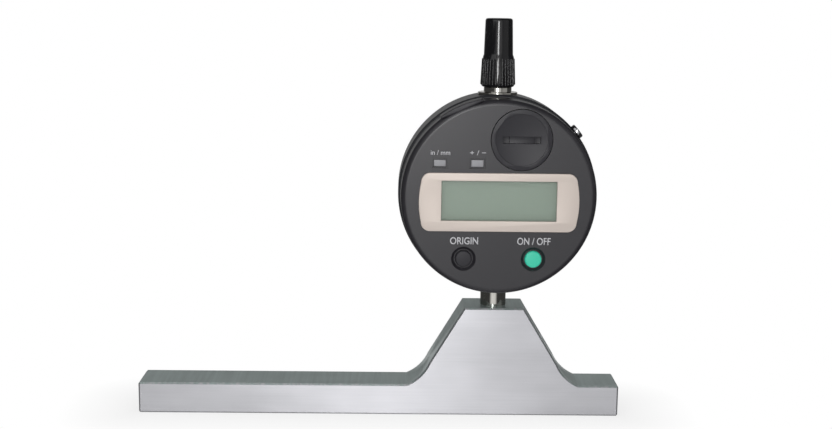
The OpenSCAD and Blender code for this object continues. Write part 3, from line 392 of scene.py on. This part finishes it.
def make_materials(finish):
    """The record's material slots, each with its finish."""
    return {
        "base_steel": ground_tool_steel(finish),
        "turned_steel": turned_steel("turned steel", finish.turned, 0.28),
        "hardened_steel": turned_steel("hardened and polished steel", finish.hardened, 0.12),
        "bright_chrome": plain_metal("polished chrome plate", "#a8a8aa", 0.16),
        "blackened_steel": plain_metal("black oxide steel", "#2a2a2c", 0.45),
        "bronze": plain_metal("phosphor bronze", "#b9924f", 0.3),
        "spring_steel": plain_metal("drawn spring wire", "#9c9c9e", 0.3),
        "case_grey": lacquered_casting(finish),
        "face_grey": moulded_plastic("moulded ABS face", finish.face, 0.34, 0.22, 0.4),
        "frame_champagne": anodised_frame(finish),
        "window_clear": clear_window(),
        "lcd_green": crystal_panel(finish),
        "holder_white": moulded_plastic("moulded white ABS", linear("#d6d6d2"), 0.5),
        "board_green": moulded_plastic("solder masked laminate", linear("#245c3a"), 0.35, 0.4),
        "strip_rubber": moulded_plastic("silicone strip", linear("#7a7a80"), 0.7),
        "seal_rubber": moulded_plastic("nitrile rubber", linear("#111112"), 0.7, 0.3, 0.3),
        "black_plastic": moulded_plastic("moulded charcoal ABS", finish.charcoal, 0.42, 0.25, 0.28),
        "gloss_black": moulded_plastic("polished black ABS", finish.black, 0.16, 0.4, 0.5, 0.001),
        "button_green": moulded_plastic("moulded green ABS", finish.power, 0.3, 0.3),
        "key_grey": moulded_plastic("moulded grey ABS", finish.key, 0.5),
        "cell_nickel": plain_metal("nickel plate", "#c2c0ba", 0.2),
        "glass_scale": moulded_plastic("coated scale strip", linear("#9fb0b6"), 0.25),
        "carrier_grey": plain_metal("machined aluminium", "#97989c", 0.35),
        "film_amber": moulded_plastic("polyimide film", linear("#b87a33"), 0.3),
        "ink": printed_ink(finish),
    }


def slot_of(name):
    for part in frame["record"]["subparts"]:
        if part["node"] == name:
            return part["material_slot"]
    raise ValueError(name)


def body_of(name):
    for body, members in frame["record"]["behaviour"]["bodies"].items():
        if name in members:
            return body
    raise ValueError(name)


def slot_material(slot):
    for material in bpy.data.materials:
        if material.get("slot") == slot:
            return material
    raise ValueError(slot)


# ---------------------------------------------------------------- pieces

# Points of a CAD mesh closer than this are one, in metres
SAME_POINT = 1e-6
# Steps of a rounded edge, and the sharpest turn in degrees that stays unrounded
ROUND_SEGMENTS = 3
ROUND_FROM = 28
# Share of the dust cap's foot radius beyond which a point lies on its grip, and share of the grip's
# height above which it lies at its top
GRIP_SIDE = 0.9
GRIP_TOP = 0.9
# How far the ribs end from the grip's foot and top
RIB_FOOT = 0.8 * MM
RIB_TOP_GAP = 0.25 * MM
# How much the larger words' strokes are thickened, as a share of their height
BOLD = 0.012


def add_piece(name, mesh, body, slot, material_slot=None):
    """Puts a finished mesh in the scene on its body, with its finish."""
    piece = bpy.data.objects.new(name, mesh)
    bpy.context.scene.collection.objects.link(piece)
    mesh.materials.clear()
    mesh.materials.append(slot_material(material_slot or slot))
    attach(piece, body)
    return piece


def mesh_from(name, build):
    """A mesh whose shape the given function draws."""
    shape = bmesh.new()
    build(shape)
    mesh = bpy.data.meshes.new(name)
    shape.to_mesh(mesh)
    shape.free()
    return mesh


def evaluated_mesh(obj, name):
    """The plain mesh of an object with its modifiers, after which the object goes."""
    graph = bpy.context.evaluated_depsgraph_get()
    mesh = bpy.data.meshes.new_from_object(obj.evaluated_get(graph), depsgraph=graph)
    mesh.name = name
    bpy.data.objects.remove(obj)
    return mesh


def shade_smooth(mesh, angle):
    """Smooth shading, except across edges sharper than the angle in degrees."""
    for face in mesh.polygons:
        face.use_smooth = True
    mesh.set_sharp_from_angle(angle=math.radians(angle))


# CAD pieces whose finish differs from the others in their slot
OWN_FINISH = {"stem": "hardened_steel", "upper_sleeve": "hardened_steel", "dust_cap": "gloss_black",
              "clamp_screw": "blackened_steel"}


def merged_copy(node, name):
    """A CAD node's mesh with its loose triangles joined."""
    def join(shape):
        shape.from_mesh(frame["nodes"][node].data)
        bmesh.ops.remove_doubles(shape, verts=shape.verts, dist=SAME_POINT)
        bmesh.ops.dissolve_limit(shape, angle_limit=math.radians(1), verts=shape.verts, edges=shape.edges)
    return mesh_from(name, join)


def rounded_copy(node, width):
    """A copy of a CAD node with its edges rounded, shown in the node's place."""
    blank = bpy.data.objects.new(node + " blank", merged_copy(node, node + " blank"))
    bpy.context.scene.collection.objects.link(blank)
    bevel = blank.modifiers.new("rounding", "BEVEL")
    bevel.width = width
    bevel.segments = ROUND_SEGMENTS
    bevel.limit_method = "ANGLE"
    bevel.angle_limit = math.radians(ROUND_FROM)
    bevel.use_clamp_overlap = True
    result = evaluated_mesh(blank, node + " rounded")
    shade_smooth(result, 40)
    piece = add_piece("rounded_" + node, result, body_of(node), slot_of(node), OWN_FINISH.get(node))
    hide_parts(node)
    return piece


class GAUGE_OT_finishes(bpy.types.Operator):
    """Give every CAD piece its real finish"""

    bl_idname = "gauge.finishes"
    bl_label = "Finishes"

    def execute(self, context):
        for slot, material in make_materials(context.scene.gauge_finish).items():
            material["slot"] = slot
        for name, node in frame["nodes"].items():
            for place in node.material_slots:
                place.link = "OBJECT"
                place.material = slot_material(OWN_FINISH.get(name, slot_of(name)))
        return {"FINISHED"}


class GAUGE_OT_rounded(bpy.types.Operator):
    """Round the edges of the moulded and pressed pieces on the head"""

    bl_idname = "gauge.rounded"
    bl_label = "Rounded pieces"

    def execute(self, context):
        edge = context.scene.gauge_sizes.edge
        for node in ("display_frame", "battery_cap", "origin_button", "power_button", "unit_key", "sign_key",
                     "connector_cover", "upper_sleeve", "lock_screw"):
            rounded_copy(node, edge)
        return {"FINISHED"}


def ribs_tree():
    """Geometry nodes that set rounded ribs round a cap's grip, from its foot to its top."""
    tree = bpy.data.node_groups.new("grip ribs", "GeometryNodeTree")
    kinds = {"Cap": "Geometry", "Ribs": "Int", "Rib radius": "Float", "Foot": "Vector", "Top": "Vector",
             "Axis": "Vector", "Finish": "Material"}
    sockets = {}
    for name, kind in kinds.items():
        socket = tree.interface.new_socket(name=name, in_out="INPUT", socket_type="NodeSocket" + kind)
        sockets[name] = socket.identifier
    tree.interface.new_socket(name="Geometry", in_out="OUTPUT", socket_type="NodeSocketGeometry")
    given = add_node(tree, "NodeGroupInput").outputs
    line = add_node(tree, "GeometryNodeCurvePrimitiveLine",
                    links={"Start": given["Foot"], "End": given["Top"]})
    ring = add_node(tree, "GeometryNodeCurvePrimitiveCircle", {"Resolution": 12},
                    {"Radius": given["Rib radius"]})
    rib = add_node(tree, "GeometryNodeCurveToMesh", {"Fill Caps": True},
                   {"Curve": line.outputs["Curve"], "Profile Curve": ring.outputs["Curve"]})
    points = add_node(tree, "GeometryNodePoints", links={"Count": given["Ribs"]})
    index = add_node(tree, "GeometryNodeInputIndex")
    share = add_node(tree, "ShaderNodeMath", {"operation": "DIVIDE"}, {0: index.outputs[0], 1: given["Ribs"]})
    angle = add_node(tree, "ShaderNodeMath", {"operation": "MULTIPLY", 1: math.tau}, {0: share.outputs[0]})
    turn = add_node(tree, "ShaderNodeCombineXYZ", links={"Z": angle.outputs[0]})
    copies = add_node(tree, "GeometryNodeInstanceOnPoints",
                      links={"Points": points.outputs[0], "Instance": rib.outputs["Mesh"],
                             "Rotation": turn.outputs["Vector"]})
    seated = add_node(tree, "GeometryNodeTransform", links={"Geometry": copies.outputs["Instances"],
                                                            "Translation": given["Axis"]})
    joined = add_node(tree, "GeometryNodeJoinGeometry", links={"Geometry": seated.outputs["Geometry"]})
    tree.links.new(given["Cap"], joined.inputs["Geometry"])
    solid = add_node(tree, "GeometryNodeRealizeInstances", links={"Geometry": joined.outputs["Geometry"]})
    finished = add_node(tree, "GeometryNodeSetMaterial", links={"Geometry": solid.outputs["Geometry"],
                                                                "Material": given["Finish"]})
    add_node(tree, "NodeGroupOutput", links={"Geometry": finished.outputs["Geometry"]})
    return tree, sockets


class GAUGE_OT_ribbed_cap(bpy.types.Operator):
    """Give the dust cap its ribbed grip"""

    bl_idname = "gauge.ribbed_cap"
    bl_label = "Ribbed dust cap"

    def execute(self, context):
        sizes = context.scene.gauge_sizes
        axis = (DUST_LOW + DUST_HIGH) / 2
        axis.z = DUST_LOW.z
        foot_r = (DUST_HIGH.x - DUST_LOW.x) / 2
        mesh = merged_copy("dust_cap", "dust cap core")
        top_r = 0.0
        for vertex in mesh.vertices:
            out = Vector((vertex.co.x - axis.x, vertex.co.y - axis.y))
            height = vertex.co.z - axis.z
            if out.length > foot_r * GRIP_SIDE and height < sizes.grip_height + 0.05 * MM:
                if height > sizes.grip_height * GRIP_TOP:
                    top_r = max(top_r, out.length)
                out *= 1 - sizes.rib_height / out.length
                vertex.co.x, vertex.co.y = axis.x + out.x, axis.y + out.y
        core = bpy.data.objects.new("dust cap core", mesh)
        context.scene.collection.objects.link(core)
        tree, sockets = ribs_tree()
        ribs = core.modifiers.new("ribs", "NODES")
        ribs.node_group = tree
        ribs[sockets["Ribs"]] = sizes.rib_count
        ribs[sockets["Rib radius"]] = sizes.rib_radius
        ribs[sockets["Foot"]] = (foot_r - sizes.rib_radius, 0, RIB_FOOT)
        ribs[sockets["Top"]] = (top_r - sizes.rib_radius, 0, sizes.grip_height - RIB_TOP_GAP)
        ribs[sockets["Axis"]] = axis
        ribs[sockets["Finish"]] = slot_material(OWN_FINISH["dust_cap"])
        result = evaluated_mesh(core, "ribbed dust cap")
        shade_smooth(result, 32)
        piece = add_piece("ribbed_dust_cap", result, body_of("dust_cap"), slot_of("dust_cap"),
                          OWN_FINISH["dust_cap"])
        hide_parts("dust_cap")
        return {"FINISHED"}


def word_mesh(text, width, height, depth, weight):
    """A word as a thin mesh on the XZ plane, centred, scaled to its printed size."""
    curve = bpy.data.curves.new("word", "FONT")
    curve.body = text
    curve.size = 1.0
    curve.offset = weight
    flat = bpy.data.objects.new("word", curve)
    bpy.context.scene.collection.objects.link(flat)
    mesh = evaluated_mesh(flat, "word " + text)
    bpy.data.curves.remove(curve)
    xs = [v.co.x for v in mesh.vertices]
    ys = [v.co.y for v in mesh.vertices]
    middle = Vector(((min(xs) + max(xs)) / 2, (min(ys) + max(ys)) / 2, 0))
    scale = Matrix.Diagonal((width / (max(xs) - min(xs)), height / (max(ys) - min(ys)), 1, 1))
    stand = Matrix.Rotation(math.radians(90), 4, "X")
    mesh.transform(stand @ scale @ Matrix.Translation(-middle))
    shape = bmesh.new()
    shape.from_mesh(mesh)
    bmesh.ops.remove_doubles(shape, verts=shape.verts, dist=1e-7)
    raised = bmesh.ops.extrude_face_region(shape, geom=shape.faces[:])
    corners = [v for v in raised["geom"] if isinstance(v, bmesh.types.BMVert)]
    bmesh.ops.translate(shape, verts=corners, vec=(0, -depth, 0))
    bmesh.ops.recalc_face_normals(shape, faces=shape.faces)
    shape.to_mesh(mesh)
    shape.free()
    return mesh


class GAUGE_OT_lettering(bpy.types.Operator):
    """Print the words by the buttons and keys"""

    bl_idname = "gauge.lettering"
    bl_label = "Lettering"

    def execute(self, context):
        sizes = context.scene.gauge_sizes
        # Middle to the right of and above the case's middle, and width, in millimetres
        words = (
            ("origin_word", "ORIGIN", -10.2, -13.0, 8.4, sizes.word_height, BOLD),
            ("power_word", "ON / OFF", 10.7, -13.0, 10.0, sizes.word_height, BOLD),
            ("unit_word", "in / mm", -17.65, 13.5, 5.7, sizes.key_word_height, 0.0),
            ("sign_word", "+ / −", -6.55, 13.5, 4.7, sizes.key_word_height, 0.0),
        )
        for name, text, x, z, width, height, weight in words:
            mesh = word_mesh(text, width * MM, height, sizes.ink_depth, weight)
            mesh.transform(Matrix.Translation((CASE_MID.x + x * MM, FACE_Y, CASE_MID.z + z * MM)))
            add_piece(name, mesh, "display_head", "key_grey", "ink")
        return {"FINISHED"}


# ---------------------------------------------------------------- stage

# What the lamps point at
LAMP_AIM = Vector((0.02, 0, 0.06))
# Half the floor's side, in metres, and its height, just below the base so that the two don't meet
FLOOR_HALF = 6.0
FLOOR_Z = -0.02 * MM
# Distance from the base at which the floor's shadow has faded, and how white the floor is beside it
SHADOW_REACH = 25 * MM
BESIDE_BASE = 0.75
# Height of a direction at which the surroundings start to darken, and at which they are darkest
SKY_FROM, SKY_TO = 0.12, 0.8
# Angles off straight ahead of the face at which mirror rays go from white to the dark cards, and from
# the dark cards to the grey behind
WHITE_END, DARK_START = math.radians(16), math.radians(34)
DARK_END, GREY_START = math.radians(146), math.radians(162)


class GAUGE_OT_stage(bpy.types.Operator):
    """Set the floor, the lamps, the white surroundings and the camera"""

    bl_idname = "gauge.stage"
    bl_label = "Stage"

    def execute(self, context):
        scene = context.scene
        stage = scene.gauge_stage
        scene.view_settings.view_transform = "Standard"
        white_world(scene, stage)
        floor = bpy.data.objects.new("floor", mesh_from("floor", draw_floor))
        scene.collection.objects.link(floor)
        floor.data.materials.append(floor_paint(stage))
        add_lamp("strip lamp", (-0.02, -0.62, 0.19), (0.07, 0.34), stage.strip_power)
        add_lamp("key lamp", (-0.55, -0.65, 0.75), (0.7, 0.7), stage.key_power)
        add_lamp("fill lamp", (0.75, -0.45, 0.45), (0.8, 0.8), stage.fill_power)
        add_camera(scene, stage)
        return {"FINISHED"}


def seen_directly(tree):
    """1 for camera, mirror and see-through rays, which all meet the drawn surroundings."""
    path = add_node(tree, "ShaderNodeLightPath")
    first = add_node(tree, "ShaderNodeMath", {"operation": "MAXIMUM"},
                     {0: path.outputs["Is Camera Ray"], 1: path.outputs["Is Glossy Ray"]})
    return add_node(tree, "ShaderNodeMath", {"operation": "MAXIMUM"},
                    {0: first.outputs[0], 1: path.outputs["Is Transmission Ray"]}).outputs[0]


def mirrored_level(tree, direction, stage):
    """Brightness along a ray's direction: 1 for all but mirror rays, which meet white ahead of the
    gauge's face, dark cards beside it and grey behind it."""
    axes = add_node(tree, "ShaderNodeSeparateXYZ", links={"Vector": direction})
    across = add_node(tree, "ShaderNodeMath", {"operation": "ABSOLUTE"}, {0: axes.outputs["X"]})
    ahead = add_node(tree, "ShaderNodeMath", {"operation": "MULTIPLY", 1: -1.0}, {0: axes.outputs["Y"]})
    off = add_node(tree, "ShaderNodeMath", {"operation": "ARCTAN2"},
                   {0: across.outputs[0], 1: ahead.outputs[0]})
    front = add_node(tree, "ShaderNodeMapRange",
                     {"From Min": WHITE_END, "From Max": DARK_START, "To Min": 1.0,
                      "To Max": stage.side_light}, {"Value": off.outputs[0]})
    behind = add_node(tree, "ShaderNodeMapRange",
                      {"From Min": DARK_END, "From Max": GREY_START, "To Max": stage.back_light},
                      {"Value": off.outputs[0]})
    card = add_node(tree, "ShaderNodeMath", {"operation": "ADD"},
                    {0: front.outputs["Result"], 1: behind.outputs["Result"]})
    path = add_node(tree, "ShaderNodeLightPath")
    return add_node(tree, "ShaderNodeMix", {"data_type": "FLOAT", 2: 1.0},
                    {0: path.outputs["Is Glossy Ray"], 3: card.outputs[0]}).outputs[0]


def white_world(scene, stage):
    """Plain soft light, and surroundings that are white at the horizon and darker straight above."""
    world = bpy.data.worlds.new("white surroundings")
    scene.world = world
    world.use_nodes = True
    tree = world.node_tree
    place = add_node(tree, "ShaderNodeTexCoord")
    axes = add_node(tree, "ShaderNodeSeparateXYZ", links={"Vector": place.outputs["Generated"]})
    sky = add_node(tree, "ShaderNodeMapRange",
                   {"From Min": SKY_FROM, "From Max": SKY_TO, "To Min": 1.0, "To Max": stage.zenith_light},
                   {"Value": axes.outputs["Z"]})
    shown = add_node(tree, "ShaderNodeMath", {"operation": "MULTIPLY"},
                     {0: sky.outputs["Result"], 1: mirrored_level(tree, place.outputs["Generated"], stage)})
    level = add_node(tree, "ShaderNodeMapRange", {"To Min": stage.world_light},
                     {"Value": seen_directly(tree), "To Max": shown.outputs[0]})
    tree.links.new(level.outputs["Result"], tree.nodes["Background"].inputs["Strength"])
    tree.nodes["Background"].inputs["Color"].default_value = (1, 1, 1, 1)


def draw_floor(shape):
    sides = ((-1, -1), (1, -1), (1, 1), (-1, 1))
    shape.faces.new([shape.verts.new((x * FLOOR_HALF, y * FLOOR_HALF, FLOOR_Z)) for x, y in sides])


def floor_paint(stage):
    """Matt white floor, which keeps a faint shadow beside the base and is plain white further off.
    Mirror rays meet the surroundings' dark cards on it too, by the direction that they come from."""
    material, tree, shader = new_material("matt white floor")
    set_shader(shader, linear("#fafafa"), 0.0, 0.9, Specular_IOR_Level=0.1)
    low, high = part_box("depth_base")
    place = add_node(tree, "ShaderNodeTexCoord")
    size = add_node(tree, "ShaderNodeVectorMath", {"operation": "ABSOLUTE"}, {0: place.outputs["Object"]})
    beyond = add_node(tree, "ShaderNodeVectorMath", {"operation": "SUBTRACT", 1: (high[0], high[1], 0)},
                      {0: size.outputs["Vector"]})
    outside = add_node(tree, "ShaderNodeVectorMath", {"operation": "MAXIMUM", 1: (0, 0, 0)},
                       {0: beyond.outputs["Vector"]})
    away = add_node(tree, "ShaderNodeVectorMath", {"operation": "LENGTH"}, {0: outside.outputs["Vector"]})
    fade = add_node(tree, "ShaderNodeMapRange",
                    {"From Min": 0.0, "From Max": SHADOW_REACH, "To Min": BESIDE_BASE, "To Max": 1.0},
                    {"Value": away.outputs["Value"]})
    mix = add_node(tree, "ShaderNodeMath", {"operation": "MULTIPLY"},
                   {0: fade.outputs["Result"], 1: seen_directly(tree)})
    geometry = add_node(tree, "ShaderNodeNewGeometry")
    onward = add_node(tree, "ShaderNodeVectorMath", {"operation": "MULTIPLY", 1: (-1, -1, -1)},
                      {0: geometry.outputs["Incoming"]})
    glow = add_node(tree, "ShaderNodeEmission", {"Color": (1, 1, 1, 1)},
                    {"Strength": mirrored_level(tree, onward.outputs["Vector"], stage)})
    joined = add_node(tree, "ShaderNodeMixShader",
                      links={0: mix.outputs[0], 1: shader.outputs[0], 2: glow.outputs[0]})
    tree.links.new(joined.outputs[0], tree.nodes["Material Output"].inputs["Surface"])
    return material


def add_lamp(name, place, size, power):
    """A rectangular lamp that points at the gauge, with its place and size in metres."""
    lamp = bpy.data.lights.new(name, "AREA")
    lamp.shape = "RECTANGLE"
    lamp.size, lamp.size_y = size
    lamp.energy = power
    holder = bpy.data.objects.new(name, lamp)
    bpy.context.scene.collection.objects.link(holder)
    holder.location = place
    holder.rotation_euler = (LAMP_AIM - Vector(place)).to_track_quat("-Z", "Y").to_euler()


def add_camera(scene, stage):
    data = bpy.data.cameras.new("camera")
    data.sensor_width = 36
    data.lens = stage.lens
    data.clip_start = 0.01
    data.clip_end = 50
    holder = bpy.data.objects.new("camera", data)
    scene.collection.objects.link(holder)
    yaw, pitch, roll = stage.turn
    ahead = Vector((math.sin(yaw) * math.cos(pitch), math.cos(yaw) * math.cos(pitch), -math.sin(pitch)))
    level = Vector((math.cos(yaw), -math.sin(yaw), 0))
    above = level.cross(ahead)
    right = math.cos(roll) * level + math.sin(roll) * above
    up = -math.sin(roll) * level + math.cos(roll) * above
    turn = Matrix((right, up, -ahead)).transposed()
    holder.matrix_world = Matrix.Translation(stage.eye) @ turn.to_4x4()
    scene.camera = holder


class GAUGE_PT_panel(bpy.types.Panel):
    """Sidebar panel with the gauge's steps"""

    bl_label = "Depth gauge"
    bl_idname = "GAUGE_PT_panel"
    bl_space_type = "VIEW_3D"
    bl_region_type = "UI"
    bl_category = "Depth gauge"

    def draw(self, context):
        for step in STEPS:
            self.layout.operator(step)
        for group in ("gauge_finish", "gauge_sizes", "gauge_stage"):
            settings = getattr(context.scene, group)
            box = self.layout.box()
            for name in settings.bl_rna.properties.keys():
                if name not in ("rna_type", "name"):
                    box.prop(settings, name)


STEPS = ("gauge.stage", "gauge.finishes", "gauge.rounded", "gauge.ribbed_cap", "gauge.lettering")
GROUPS = {"gauge_finish": GaugeFinish, "gauge_sizes": GaugeSizes, "gauge_stage": GaugeStage}
CLASSES = (*GROUPS.values(), GAUGE_OT_stage, GAUGE_OT_finishes, GAUGE_OT_rounded, GAUGE_OT_ribbed_cap,
           GAUGE_OT_lettering, GAUGE_PT_panel)


def register():
    for cls in CLASSES:
        bpy.utils.register_class(cls)
    for name, group in GROUPS.items():
        setattr(bpy.types.Scene, name, bpy.props.PointerProperty(type=group))


def unregister():
    for name in GROUPS:
        delattr(bpy.types.Scene, name)
    for cls in reversed(CLASSES):
        bpy.utils.unregister_class(cls)


def main():
    register()
    for step in STEPS:
        group, name = step.split(".")
        getattr(getattr(bpy.ops, group), name)()


if __name__ == "__main__":
    main()
